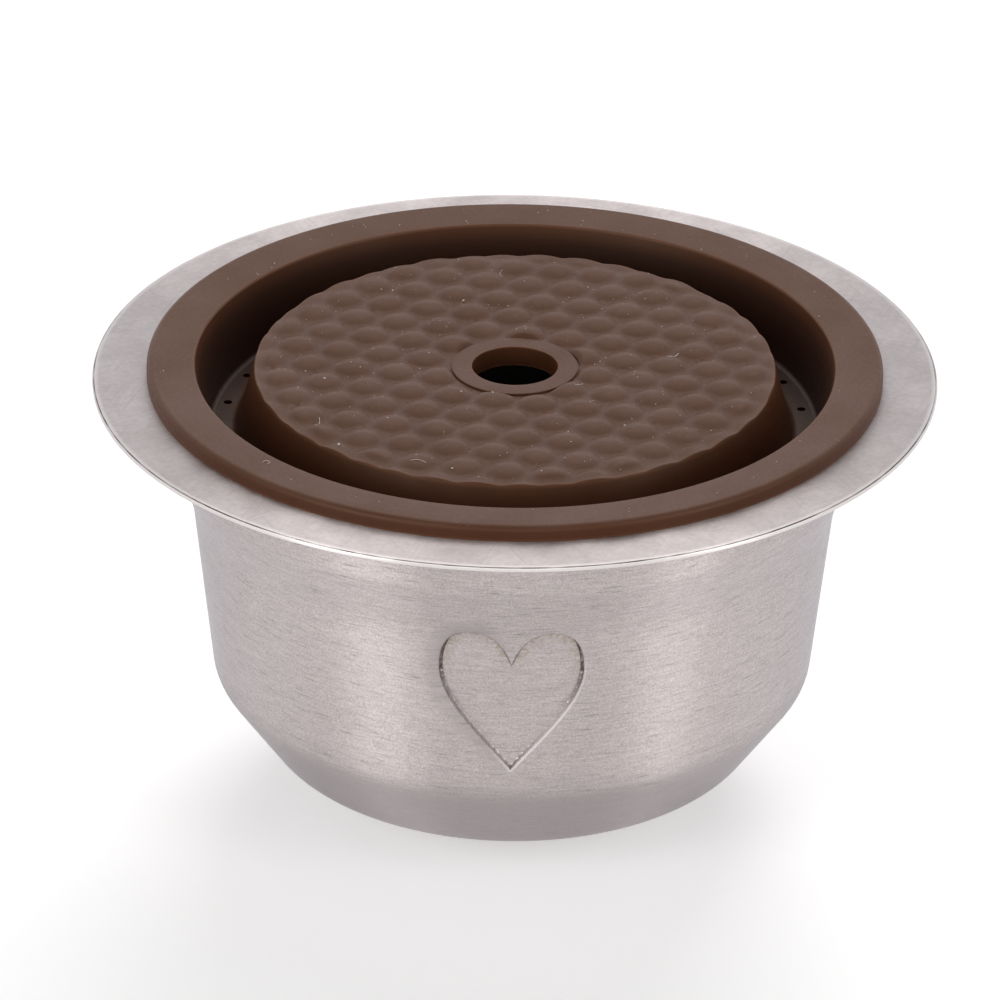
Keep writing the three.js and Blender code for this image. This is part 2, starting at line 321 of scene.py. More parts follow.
def drain_group(material):
    """Drills a ring of thin holes through the floor of the trough."""
    group, tree, given, output = geometry_group("drains", [
        ("Count", "Int", DRAIN_COUNT), ("Ring Radius", "Float", 0.0), ("Hole Radius", "Float", DRAIN_RADIUS),
        ("Start", "Float", DRAIN_START), ("Height", "Float", 0.0), ("Length", "Float", 0.0),
    ])
    ring = tree.add("GeometryNodeMeshCircle", {"Vertices": given.outputs["Count"],
                                               "Radius": given.outputs["Ring Radius"]})
    drill = tree.add("GeometryNodeMeshCylinder", {
        "Vertices": DRAIN_SIDES, "Radius": given.outputs["Hole Radius"], "Depth": given.outputs["Length"],
    })
    copies = tree.add("GeometryNodeInstanceOnPoints", {"Points": ring.outputs[0],
                                                       "Instance": drill.outputs[0]})
    spot = tree.add("ShaderNodeCombineXYZ", {2: given.outputs["Height"]})
    turn = tree.add("ShaderNodeCombineXYZ", {2: given.outputs["Start"]})
    drills = tree.add("GeometryNodeTransform", {"Geometry": copies.outputs[0],
                                                "Translation": spot.outputs[0], "Rotation": turn.outputs[0]})
    real = tree.add("GeometryNodeRealizeInstances", {"Geometry": drills.outputs[0]})
    cut = tree.add("GeometryNodeMeshBoolean", operation="DIFFERENCE", solver="EXACT")
    tree.link(given.outputs["Geometry"], cut.inputs["Mesh 1"])
    tree.link(real.outputs[0], cut.inputs["Mesh 2"])
    finish_group(tree, cut.outputs["Mesh"], material, output)
    return group


def grain_group(material):
    """Puts a small rough grain on every point, each with its own size and turn."""
    group, tree, given, output = geometry_group("grains", [
        ("Grain Radius", "Float", 0.06 * MM), ("Seed", "Int", 7),
    ])
    grain = tree.add("GeometryNodeMeshIcoSphere", {"Radius": given.outputs["Grain Radius"],
                                                   "Subdivisions": 2})
    size = tree.add("FunctionNodeRandomValue", data_type="FLOAT_VECTOR")
    size.inputs[0].default_value = (0.5, 0.4, 0.25)
    size.inputs[1].default_value = (1.6, 1.1, 0.7)
    tree.link(given.outputs["Seed"], size.inputs["Seed"])
    turn = tree.add("FunctionNodeRandomValue", data_type="FLOAT_VECTOR")
    turn.inputs[0].default_value = (-0.4, -0.4, 0.0)
    turn.inputs[1].default_value = (0.4, 0.4, math.tau)
    tree.link(given.outputs["Seed"], turn.inputs["Seed"])
    copies = tree.add("GeometryNodeInstanceOnPoints", {
        "Points": given.outputs["Geometry"], "Instance": grain.outputs[0],
        "Scale": size.outputs[0], "Rotation": turn.outputs[0],
    })
    finish_group(tree, copies.outputs[0], material, output)
    return group


# Materials

def new_material(name):
    material = bpy.data.materials.new(name)
    material.use_nodes = True
    tree = Tree(material.node_tree)
    tree.tree.nodes.clear()
    shader = tree.add("ShaderNodeBsdfPrincipled")
    output = tree.add("ShaderNodeOutputMaterial")
    tree.link(shader.outputs[0], output.inputs[0])
    return material, tree, shader


def noise(tree, place, scale, detail=2.0, rough=0.5):
    """Noise over object coordinates, each axis with its own scale per metre."""
    scaled = tree.vector("MULTIPLY", place, scale)
    node = tree.add("ShaderNodeTexNoise", {"Vector": scaled, "Scale": 1.0, "Detail": detail,
                                           "Roughness": rough})
    return node.outputs["Fac"]


def spread(tree, value, low, high, out_low, out_high, smooth=False):
    node = tree.add("ShaderNodeMapRange", {"Value": value, "From Min": low, "From Max": high,
                                           "To Min": out_low, "To Max": out_high},
                    interpolation_type="SMOOTHSTEP" if smooth else "LINEAR")
    return node.outputs[0]


def mixed(tree, factor, a, b):
    """Colour a, with b over it by the factor."""
    node = tree.add("ShaderNodeMix", data_type="RGBA")
    for socket, value in ((node.inputs[0], factor), (node.inputs[6], a), (node.inputs[7], b)):
        if isinstance(value, bpy.types.NodeSocket):
            tree.link(value, socket)
        else:
            socket.default_value = value if isinstance(value, float) else (*value[:3], 1.0)
    return node.outputs[2]


def object_place(tree):
    return tree.add("ShaderNodeTexCoord").outputs["Object"]


def turned_place(tree, place, angle):
    return tree.add("ShaderNodeMapping", {"Vector": place, "Rotation": (0, 0, angle)}).outputs[0]


# Finishes, as linear colours. STEEL_LIGHT and STEEL_DARK are the flange's, and the WALL ones the wall's.
STEEL_LIGHT = (0.575, 0.520, 0.512)
STEEL_DARK = (0.455, 0.405, 0.398)
WALL_LIGHT = (0.645, 0.580, 0.572)
WALL_DARK = (0.425, 0.378, 0.373)
# The next colour is painted shade for the lower wall.
WALL_LOW_SHADE = (0.350, 0.315, 0.315)
# The next colour is a painted highlight, on the mark's lower step and on the flange's bright edge.
STEEL_HIGHLIGHT = (0.800, 0.750, 0.740)
# The next colour darkens the wall's brushing scores, and is the painted shade beside the pressed mark.
STEEL_SCORE_AND_SHADE = (0.20, 0.175, 0.17)
STEEL_SOIL = (0.34, 0.25, 0.17)
# The next colour is painted shade, in the crease round the pressed mark and under the flange's step.
STEEL_CREASE_SHADE = (0.06, 0.04, 0.035)
SCRATCH_TONE = (0.30, 0.265, 0.26)
INSIDE_TONE = (0.42, 0.40, 0.39)
GRAZING_TINT = (0.76, 0.79, 0.84, 1.0)
SILICONE_DARK, SILICONE_LIGHT = (0.066, 0.0200, 0.0068), (0.077, 0.0250, 0.0100)
# The next colour is painted shade in the trough.
SILICONE_TROUGH_SHADE = (0.022, 0.0075, 0.0045)
# The next colour is a pale haze of dust, partly painted sheen.
SILICONE_DUST_SHEEN = (0.24, 0.20, 0.19)
SILICONE_SPECK = (0.48, 0.40, 0.36)
# The next colour is painted light on the lid's edges: glow and highlight.
SILICONE_EDGE_GLOW = (0.200, 0.085, 0.042)
SILICONE_TINT = (1.0, 0.78, 0.62, 1.0)
DUST_DARK, DUST_LIGHT = (0.42, 0.34, 0.30), (0.82, 0.78, 0.76)


def height_and_radius(tree, place):
    """Height above the base and distance from the Z axis."""
    height = tree.add("ShaderNodeSeparateXYZ", {0: place}).outputs[2]
    return height, tree.vector("LENGTH", tree.vector("MULTIPLY", place, (1, 1, 0)))


def near_ring(tree, height, radius, ring_height, ring_radius, reach):
    """One on a ring round the Z axis, falling to zero at a reach from it."""
    across = tree.add("ShaderNodeCombineXYZ", {0: tree.math("SUBTRACT", radius, ring_radius),
                                               1: tree.math("SUBTRACT", height, ring_height)})
    return spread(tree, tree.vector("LENGTH", across.outputs[0]), 0.0, reach, 1.0, 0.0, smooth=True)


def field(tree, name):
    """Value of one of the fields that the pressed mark leaves on the mesh."""
    return tree.add("ShaderNodeAttribute", attribute_name=name).outputs["Fac"]


def marked_color(tree, place, grain, color):
    """Painted shade by the left shoulder, coffee residue in the lobes, a painted highlight at the lower
    step, and a dark line along the pressed mark's edge that is painted crease shade with some residue.
    """
    gap = field(tree, "mark_gap")
    patch = noise(tree, place, (3800, 3800, 3800), 2.0)
    outside = spread(tree, gap, -0.03, 0.0, 0.0, 1.0)
    # Painted shade: the wall outside the mark's left edge, darker where it dips.
    shade = tree.math("MULTIPLY", spread(tree, gap, 0.0, 1.4, 0.32, 0.0), outside)
    shade = tree.math("MULTIPLY", shade, spread(tree, grain, 0.35, 0.65, 0.4, 1.4))
    color = mixed(tree, tree.math("MULTIPLY", shade, field(tree, "mark_left")), color, STEEL_SCORE_AND_SHADE)
    inside = tree.math("SUBTRACT", 1.0, outside)
    soil = tree.math("MULTIPLY", spread(tree, gap, -1.2, -0.1, 0.0, 0.75), inside)
    soil = tree.math("MULTIPLY", soil, spread(tree, patch, 0.40, 0.62, 0.1, 1.0))
    color = mixed(tree, tree.math("MULTIPLY", soil, field(tree, "mark_lobes")), color, STEEL_SOIL)
    # Painted highlight on the lower step, just outside the mark's edge.
    shine = spread(tree, tree.math("ABSOLUTE", tree.math("SUBTRACT", gap, 0.10)), 0.05, 0.15, 1.0, 0.0)
    color = mixed(tree, tree.math("MULTIPLY", shine, field(tree, "mark_shine")), color, STEEL_HIGHLIGHT)
    # Dark line: painted shade in the crease at the foot of the step, with some residue.
    line = spread(tree, tree.math("ABSOLUTE", tree.math("ADD", gap, 0.04)), 0.02, 0.11, 1.0, 0.0)
    line = tree.math("MULTIPLY", line, spread(tree, patch, 0.3, 0.6, 0.6, 1.0))
    return mixed(tree, tree.math("MULTIPLY", line, field(tree, "mark_line")), color, STEEL_CREASE_SHADE)


def brush_round(tree, shader):
    """Brushing round the Z axis: highlights spread across the fine grooves."""
    shader.inputs["Anisotropic"].default_value = 0.9
    shader.inputs["Anisotropic Rotation"].default_value = 0.25
    shader.inputs["Specular Tint"].default_value = GRAZING_TINT
    tangent = tree.add("ShaderNodeTangent", direction_type="RADIAL", axis="Z")
    tree.link(tangent.outputs[0], shader.inputs["Tangent"])


def brushed_wall():
    """Satin wall: short dashes brushed round the cup, painted shade low down, and coffee residue, painted
    shade and a painted highlight round the pressed mark.
    """
    material, tree, shader = new_material("satin_wall")
    place = object_place(tree)
    height, radius = height_and_radius(tree, place)
    # The radius is added to the height, so that the dashes run round on the flat base too.
    place = tree.vector("ADD", place, tree.add("ShaderNodeCombineXYZ", {2: radius}).outputs[0])
    fine = noise(tree, place, (900, 900, 8500), 3.0, 0.6)
    broad = noise(tree, place, (330, 330, 4500), 2.0)
    grain = noise(tree, place, (7000, 7000, 7000), 2.0, 0.7)
    scores = noise(tree, place, (480, 480, 7500), 1.0)
    cloud = noise(tree, place, (70, 70, 70), 2.0)
    dashes = tree.math("MULTIPLY_ADD", broad, 0.35, tree.math("MULTIPLY", fine, 0.65))
    tone = tree.math("MULTIPLY_ADD", grain, 0.55, tree.math("MULTIPLY", dashes, 0.45))
    color = mixed(tree, spread(tree, tone, 0.39, 0.61, 0.0, 1.0), WALL_DARK, WALL_LIGHT)
    color = mixed(tree, spread(tree, scores, 0.64, 0.76, 0.0, 0.55), color, STEEL_SCORE_AND_SHADE)
    color = mixed(tree, spread(tree, cloud, 0.42, 0.7, 0.0, 0.14), color, STEEL_DARK)
    # Painted shade: the wall darker from just above the shoulder downwards.
    shoulder = CUP_HEIGHT - SHOULDER_DEPTH
    low = spread(tree, height, shoulder - 1.6 * MM, shoulder + 2.6 * MM, 0.62, 0.0, smooth=True)
    color = mixed(tree, low, color, WALL_LOW_SHADE)
    tree.link(marked_color(tree, place, grain, color), shader.inputs["Base Color"])
    shader.inputs["Metallic"].default_value = 1.0
    tree.link(spread(tree, fine, 0.3, 0.7, 0.36, 0.44), shader.inputs["Roughness"])
    brush_round(tree, shader)
    bump = tree.add("ShaderNodeBump", {"Height": dashes, "Strength": 0.14, "Distance": 0.03 * MM})
    tree.link(bump.outputs[0], shader.inputs["Normal"])
    return material


def scratches(tree, place, angle):
    """Fine straight scratches in one direction."""
    lines = noise(tree, turned_place(tree, place, angle), (90, 5200, 1), 2.0, 0.6)
    return spread(tree, lines, 0.6, 0.74, 0.0, 1.0)


def edge_highlight_and_shadow(tree, place, color):
    """Bright outer edge of the flange, burnished and partly painted highlight, with a dark broken line at
    its step, partly painted shadow under the ledge.
    """
    height, radius = height_and_radius(tree, place)
    # Painted highlight, with some burnishing, on the flange's outer edge.
    bright = spread(tree, radius, FLANGE_RADIUS - 0.5 * MM, FLANGE_RADIUS - 0.1 * MM, 0.0, 0.8)
    color = mixed(tree, bright, color, STEEL_HIGHLIGHT)
    worn = spread(tree, noise(tree, place, (400, 400, 400), 2.0), 0.35, 0.6, 0.35, 1.0)
    # Painted shadow under the step's ledge, with some fracture line.
    line = near_ring(tree, height, radius, STEP_HEIGHT, STEP_RADIUS, 0.11 * MM)
    return mixed(tree, tree.math("MULTIPLY", line, worn), color, STEEL_CREASE_SHADE)


def mottled_flange():
    """Satin flange: mottled cloud, faint scratches in mixed directions, a bright edge that is burnished and
    partly painted highlight, with a dark step line that is partly painted shadow.
    """
    material, tree, shader = new_material("satin_flange")
    place = object_place(tree)
    cloud = noise(tree, place, (260, 260, 260), 4.0, 0.6)
    fine = noise(tree, place, (2600, 2600, 2600), 2.0)
    marks = [scratches(tree, place, math.radians(angle)) for angle in (18, 64, -37, -71)]
    lines = marks[0]
    for mark in marks[1:]:
        lines = tree.math("MAXIMUM", lines, mark)
    tone = tree.math("MULTIPLY_ADD", fine, 0.3, tree.math("MULTIPLY", cloud, 0.7))
    color = mixed(tree, spread(tree, tone, 0.37, 0.63, 0.0, 1.0), STEEL_DARK, STEEL_LIGHT)
    color = mixed(tree, tree.math("MULTIPLY", lines, 0.30), color, SCRATCH_TONE)
    tree.link(edge_highlight_and_shadow(tree, place, color), shader.inputs["Base Color"])
    shader.inputs["Metallic"].default_value = 1.0
    rough = tree.math("MULTIPLY_ADD", lines, 0.06, spread(tree, cloud, 0.3, 0.7, 0.32, 0.40))
    tree.link(rough, shader.inputs["Roughness"])
    brush_round(tree, shader)
    relief = tree.math("MULTIPLY_ADD", lines, -0.5, fine)
    bump = tree.add("ShaderNodeBump", {"Height": relief, "Strength": 0.12, "Distance": 0.02 * MM})
    tree.link(bump.outputs[0], shader.inputs["Normal"])
    return material


def dull_inside():
    """Unpolished inside of the cup, seen only through the bore."""
    material, tree, shader = new_material("dull_inside")
    shader.inputs["Base Color"].default_value = (*INSIDE_TONE, 1)
    shader.inputs["Metallic"].default_value = 0.2
    shader.inputs["Roughness"].default_value = 0.6
    return material


def shaded_trough(tree, height, radius, color):
    """Painted shade low in the trough, stronger towards its outer wall, none on the rim's side."""
    deep = spread(tree, height, CUP_HEIGHT - 0.5 * MM, CUP_HEIGHT + 0.9 * MM, 0.90, 0.0)
    outward = spread(tree, radius, TROUGH_INNER_RADIUS - 1.0 * MM, TROUGH_OUTER_RADIUS - 1.0 * MM, 0.32, 1.0)
    outward = tree.math("MULTIPLY", outward, spread(tree, radius, 26.0 * MM, 26.5 * MM, 1.0, 0.0))
    return mixed(tree, tree.math("MULTIPLY", deep, outward), color, SILICONE_TROUGH_SHADE)


def dust_and_sheen_top(tree, place, cloud, color):
    """Pale haze on what faces up, dust and partly painted sheen, and specks of dust."""
    normal = tree.add("ShaderNodeNewGeometry").outputs["Normal"]
    up = tree.add("ShaderNodeSeparateXYZ", {0: normal}).outputs[2]
    dust = noise(tree, place, (7000, 7000, 7000), 1.0)
    # Pale haze on faces turned up: dust, partly painted sheen.
    dust_sheen = spread(tree, cloud, 0.3, 0.7, 0.01, 0.09)
    dust_sheen = tree.math("MULTIPLY", spread(tree, up, 0.45, 1.0, 0.0, 1.0), dust_sheen)
    color = mixed(tree, dust_sheen, color, SILICONE_DUST_SHEEN)
    specks = spread(tree, dust, 0.76, 0.82, 0.0, 0.6)
    specks = tree.math("MULTIPLY", specks, spread(tree, up, 0.6, 0.9, 0.0, 1.0))
    return mixed(tree, specks, color, SILICONE_SPECK)


def painted_edge_light(tree, height, radius, color):
    """Painted light on the edges round the rim, the boss and the bore: a glow like light through thin
    silicone, and soft highlights.
    """
    top = CUP_HEIGHT + BOSS_HEIGHT
    edges = [
        (CUP_HEIGHT, RIM_RADIUS, 0.26 * MM, 0.5),
        (top, BOSS_RADIUS, 0.30 * MM, 0.3),
        (CUP_HEIGHT + RIM_HEIGHT - RIM_DISH, RIM_INNER_RADIUS, 0.24 * MM, 0.3),
        (top + RING_HEIGHT, BORE_RADIUS, 0.18 * MM, 0.3),
        (top - PLATE_THICKNESS, BORE_RADIUS, 0.16 * MM, 0.5),
    ]
    # Each edge gets its painted glow and highlight.
    for edge_height, edge_radius, reach, amount in edges:
        near = near_ring(tree, height, radius, edge_height, edge_radius, reach)
        color = mixed(tree, tree.math("MULTIPLY", near, amount), color, SILICONE_EDGE_GLOW)
    return color


def matt_silicone():
    """Brown silicone: dull red-brown body, painted shade in the trough, dust and painted sheen on top,
    painted light on the edges.
    """
    material, tree, shader = new_material("matt_silicone")
    place = object_place(tree)
    height, radius = height_and_radius(tree, place)
    cloud = noise(tree, place, (180, 180, 180), 3.0)
    fine = noise(tree, place, (4200, 4200, 4200), 3.0, 0.6)
    color = mixed(tree, spread(tree, cloud, 0.35, 0.65, 0.0, 1.0), SILICONE_DARK, SILICONE_LIGHT)
    color = shaded_trough(tree, height, radius, color)
    color = dust_and_sheen_top(tree, place, cloud, color)
    color = painted_edge_light(tree, height, radius, color)
    tree.link(color, shader.inputs["Base Color"])
    tree.link(spread(tree, fine, 0.3, 0.7, 0.40, 0.52), shader.inputs["Roughness"])
    shader.inputs["IOR"].default_value = 1.40
    shader.inputs["Specular Tint"].default_value = SILICONE_TINT
    bump = tree.add("ShaderNodeBump", {"Height": fine, "Strength": 0.10, "Distance": 0.03 * MM})
    tree.link(bump.outputs[0], shader.inputs["Normal"])
    return material


def pale_grain():
    """Pale dust and lint."""
    material, tree, shader = new_material("pale_grain")
    place = object_place(tree)
    patch = noise(tree, place, (3000, 3000, 3000), 2.0)
    tree.link(mixed(tree, patch, DUST_DARK, DUST_LIGHT), shader.inputs["Base Color"])
    shader.inputs["Roughness"].default_value = 0.75
    return material


# Cup

def heart_outline(grow=0.0):
    """Heart in X and Z round its own middle, closed, as the pressed mark's edge."""
    x, y = MARK_WIDTH / 2 + grow, MARK_HEIGHT / 2 + grow
    notch = y * 0.52 + grow
    half = [
        ((0, -y), (x * 0.42, -y * 0.5), (x, -y * 0.02), (x, y * 0.46)),
        ((x, y * 0.46), (x, y * 0.88), (x * 0.78, y), (x * 0.56, y)),
        ((x * 0.56, y), (x * 0.3, y), (x * 0.08, y * 0.8), (0, notch)),
    ]
    t = np.linspace(0, 1, 60, endpoint=False)[:, None]
    right = np.vstack([
        (1 - t) ** 3 * np.array(a) + 3 * (1 - t) ** 2 * t * np.array(b)
        + 3 * (1 - t) * t ** 2 * np.array(c) + t ** 3 * np.array(d) for a, b, c, d in half
    ])
    left = right[1:][::-1] * (-1, 1)
    return np.vstack([right, [[0, notch]], left])


def outline_distance(spots, outline):
    """Signed distance to a closed outline, negative inside, with the nearest point on it."""
    a, b = outline, np.roll(outline, -1, axis=0)
    along = b - a
    best = np.full(len(spots), np.inf)
    near = np.zeros_like(spots)
    inside = np.zeros(len(spots), bool)
    for start, step in zip(a, along):
        t = np.clip((spots - start) @ step / max(step @ step, 1e-18), 0, 1)
        point = start + t[:, None] * step
        away = np.hypot(*(spots - point).T)
        closer = away < best
        best[closer], near[closer] = away[closer], point[closer]
        low, high = start[1], start[1] + step[1]
        spans = (spots[:, 1] >= min(low, high)) & (spots[:, 1] < max(low, high))
        if abs(step[1]) > 0:
            cross = start[0] + (spots[:, 1] - low) / step[1] * step[0]
            inside ^= spans & (spots[:, 0] < cross)
    return np.where(inside, -best, best), near


def cup_angles():
    """Angles round the cup, close together at the front where the mark is."""
    front = -math.pi / 2
    half = (MARK_WIDTH / 2 + MARK_SHOULDER) / WALL_TOP_RADIUS
    fine = math.ceil(2 * half * WALL_TOP_RADIUS / MARK_CELL)
    rest = math.tau - 2 * half
    close = [front - half + 2 * half * i / fine for i in range(fine)]
    return close + [front + half + rest * i / CUP_BACK_COLUMNS for i in range(CUP_BACK_COLUMNS)]


def cup_outside():
    """Outside face of the sheet, from the middle of the base to the edge of the flange."""
    def at(radius, depth, bend=0.0):
        return (radius, CUP_HEIGHT - depth, bend)
    return rounded_path([
        (0, 0), (BASE_RADIUS, 0, BASE_BEND), at(CONE_RADIUS, CONE_DEPTH, CONE_BEND),
        at(SHOULDER_RADIUS, SHOULDER_DEPTH, SHOULDER_BEND),
        at(WALL_TOP_RADIUS, WALL_TOP_DEPTH, WALL_TOP_BEND),
        at(SEAT_RADIUS, SEAT_DEPTH, SEAT_BEND), at(MOUTH_RADIUS, SHEET, MOUTH_BEND),
        at(FLANGE_RADIUS, SHEET),
    ])


def cup_section():
    """Both faces of the sheet: outside from the base to the flange, then back down inside."""
    outside = cup_outside()
    inside = offset_path(outside, SHEET)
    low = CUP_HEIGHT - MARK_DEPTH - MARK_HEIGHT / 2 - MARK_SHOULDER
    high = CUP_HEIGHT - MARK_DEPTH + MARK_HEIGHT / 2 + MARK_SHOULDER
    outside = split_for_mark(outside, low, high)
    edge = rounded_path([
        outside[-2], (FLANGE_RADIUS, CUP_HEIGHT - SHEET, FLANGE_EDGE),
        (FLANGE_RADIUS, STEP_HEIGHT, FLANGE_EDGE / 2), (STEP_RADIUS, STEP_HEIGHT),
        (STEP_RADIUS, CUP_HEIGHT, FLANGE_EDGE / 3), inside[-2],
    ])
    outer = divided(outside[:-1], lambda z: MARK_CELL if low < z < high else WALL_ROW)
    inner = divided(inside[:-1], lambda z: INSIDE_MARK_ROW if low < z < high else INSIDE_ROW)
    return outer + edge[1:-1] + inner[::-1], len(outer)


def snap_to_outline(place, ids, spots, signed, nearest):
    """Moves the points beside the outline onto it, so that the step follows it cleanly."""
    snap = abs(signed) < MARK_CELL * 0.5
    place[ids[snap], 0] = nearest[snap, 0]
    place[ids[snap], 2] += nearest[snap, 1] - spots[snap, 1]
    signed[snap] = 0.0


def rising_share(spots):
    """Zero in the mark's lower part, rising to one at its lobes."""
    return np.clip((spots[:, 1] + MARK_HEIGHT * 0.1) / (MARK_HEIGHT * 0.45), 0, 1)


def pressed_depth(signed, spots, outer_face):
    """How far points are pressed in: the floor and its step, the sink round them, the lobes' trench."""
    step = np.clip(-signed / MARK_STEP, 0, 1)
    low_share = np.clip((spots[:, 1] / MARK_HEIGHT + 0.5) / 0.35, 0, 1)
    left = np.clip(0.65 - spots[:, 0] / MARK_WIDTH, 0.2, 1.15)
    sink = MARK_SINK * left * np.exp(-np.maximum(signed, 0) / (MARK_SHOULDER * 0.55))
    trench = np.clip(1 - abs(signed + MARK_STEP) / (MARK_STEP * 1.2), 0, 1)
    trench *= MARK_TRENCH * rising_share(spots) * outer_face
    return MARK_PRESS * (0.65 + 0.35 * low_share) * step + sink + trench


def mark_fields(signed, spots):
    """What the wall's finish reads: the distance in millimetres, and where each effect shows."""
    rising = rising_share(spots)
    # Left of the mark's middle, where the painted shade falls.
    left = np.clip(0.3 - spots[:, 0] / (MARK_WIDTH * 0.25), 0, 1)
    return {
        "mark_gap": signed / MM,
        "mark_left": left,
        # Where the dark line shows: painted crease shade with some residue.
        "mark_line": np.maximum(0.9 * rising, 0.42 * left),
        # Where the painted highlight on the lower step shows.
        "mark_shine": (1 - rising) * (1 - left) * 0.8,
        "mark_lobes": np.clip((spots[:, 1] / MARK_HEIGHT - 0.12) / 0.25, 0, 1),
    }


def press_mark(mesh, outer_count, column_count):
    """Presses the heart into the front: a flat floor, a crisp step and a soft shoulder."""
    place = vertex_places(mesh)
    outer = np.arange(len(place)) < 1 + (outer_count - 1) * column_count
    flat = np.stack([place[:, 0], place[:, 2] - (CUP_HEIGHT - MARK_DEPTH)], 1)
    reach = np.array((MARK_WIDTH, MARK_HEIGHT)) / 2 + MARK_SHOULDER * 2.4
    near_mark = (abs(flat) < reach).all(axis=1) & (place[:, 1] < -SHOULDER_RADIUS / 2)
    fields = {name: np.zeros(len(place)) for name in ("mark_left", "mark_line", "mark_shine", "mark_lobes")}
    fields["mark_gap"] = np.full(len(place), FAR_GAP)
    for outer_face, grow in ((True, 0.0), (False, SHEET)):
        ids = np.nonzero(near_mark & (outer == outer_face))[0]
        spots = flat[ids]
        signed, nearest = outline_distance(spots, heart_outline(grow))
        radius = np.hypot(place[ids, 0], place[ids, 1])
        if outer_face:
            snap_to_outline(place, ids, spots, signed, nearest)
            for name, values in mark_fields(signed, spots).items():
                fields[name][ids] = values
        radius = radius - pressed_depth(signed, spots, outer_face)
        place[ids, 1] = -np.sqrt(np.maximum(radius ** 2 - place[ids, 0] ** 2, 0))
    mesh.vertices.foreach_set("co", place.ravel())
    for name, values in fields.items():
        mesh.attributes.new(name, "FLOAT", "POINT").data.foreach_set("value", values)
    mesh.update()


def steel_cup(wall, flange, inside):
    angles = cup_angles()
    rows, outer_count = cup_section()
    mesh = turned_mesh("cup_shell", rows, angles)
    press_mark(mesh, outer_count, len(angles))
    for material in (wall, flange, inside):
        mesh.materials.append(material)
    flat_from = CUP_HEIGHT - SHEET - 0.01 * MM
    root = MOUTH_RADIUS + MOUTH_BEND

    def slot(face):
        if face.center.z > flat_from and math.hypot(face.center.x, face.center.y) > root:
            return 1
        return 2 if face.index // len(angles) >= outer_count else 0
    mesh.polygons.foreach_set("material_index", [slot(face) for face in mesh.polygons])
    smoothed(mesh)
    return placed(mesh)


# Lid

def radius_at(path, height):
    """Radius at which a rising path passes a height."""
    i = next(i for i in range(1, len(path)) if path[i].y >= height)
    share = (height - path[i - 1].y) / (path[i].y - path[i - 1].y)
    return path[i - 1].lerp(path[i], share).x


def lid_section():
    """Moulded section of the lid, closed on itself, from the plate's underside round the outside."""
    def at(radius, height, bend=0.0):
        return (radius, CUP_HEIGHT + height, bend)
    plate_under = BOSS_HEIGHT - PLATE_THICKNESS
    foot = -TROUGH_DEPTH - SKIN
    lead = foot + PLUG_LEAD * 2
    seat = offset_path(cup_outside(), SHEET + PLUG_CLEARANCE)
    plug_foot, plug_side = radius_at(seat, CUP_HEIGHT + foot), radius_at(seat, CUP_HEIGHT + lead)
    plug_top = max(MOUTH_RADIUS - SHEET - PLUG_CLEARANCE, plug_side)
    groove = RING_RADIUS + RING_GROOVE
    return rounded_path([
        at(RING_RADIUS, plate_under), at(BOSS_RADIUS - SKIN, plate_under, TROUGH_FILLET),
        at(TROUGH_INNER_RADIUS - SKIN, foot, EDGE_ROUND),
        at(plug_foot - PLUG_LEAD, foot, EDGE_ROUND), at(plug_side, lead, EDGE_ROUND),
        at(plug_top, 0), at(RIM_RADIUS, 0, EDGE_ROUND / 3), at(RIM_RADIUS, RIM_HEIGHT, RIM_ROUND),
        at(RIM_INNER_RADIUS, RIM_HEIGHT - RIM_DISH, EDGE_ROUND),
        at(TROUGH_OUTER_RADIUS, -TROUGH_DEPTH, TROUGH_FILLET),
        at(TROUGH_INNER_RADIUS, -TROUGH_DEPTH, TROUGH_FILLET),
        at(BOSS_RADIUS, BOSS_HEIGHT, EDGE_ROUND / 2), at(groove, BOSS_HEIGHT, RING_ROUND),
        at(RING_RADIUS, BOSS_HEIGHT), at(RING_RADIUS, BOSS_HEIGHT + RING_HEIGHT, RING_ROUND),
        at(BORE_RADIUS, BOSS_HEIGHT + RING_HEIGHT, RING_ROUND), at(BORE_RADIUS, plate_under, RING_ROUND),
        at(RING_RADIUS, plate_under),
    ], LID_BEND_STEP)


def weigh_domes(mesh):
    """Marks the boss top, and the top edge of its side, that the domes lift."""
    place = vertex_places(mesh)
    radius = np.hypot(place[:, 0], place[:, 1])
    floor = CUP_HEIGHT + BOSS_HEIGHT
    top = (place[:, 2] > floor - 0.02 * MM) & (radius > RING_RADIUS + RING_GROOVE / 2)
    top &= radius < BOSS_RADIUS
    inner_fade = np.clip((radius - RING_RADIUS - RING_GROOVE) / (0.25 * MM), 0, 1)
    outer_fade = np.clip((BOSS_RADIUS - radius) / DOME_EDGE_WIDTH, DOME_EDGE_SHARE, 1)
    weight = np.where(top, inner_fade * outer_fade, 0.0)
    side = (radius >= BOSS_RADIUS) & (radius < TROUGH_INNER_RADIUS - TROUGH_FILLET)
    side |= (radius < BOSS_RADIUS) & (radius > BOSS_RADIUS - EDGE_ROUND) & ~top
    side &= place[:, 2] > floor - 1.2 * MM
    down_fade = np.clip(1 - (floor - place[:, 2]) / (1.2 * MM), 0, 1)
    weight = np.where(side, DOME_EDGE_SHARE * down_fade, weight)
    mesh.attributes.new("dome_weight", "FLOAT", "POINT").data.foreach_set("value", weight)


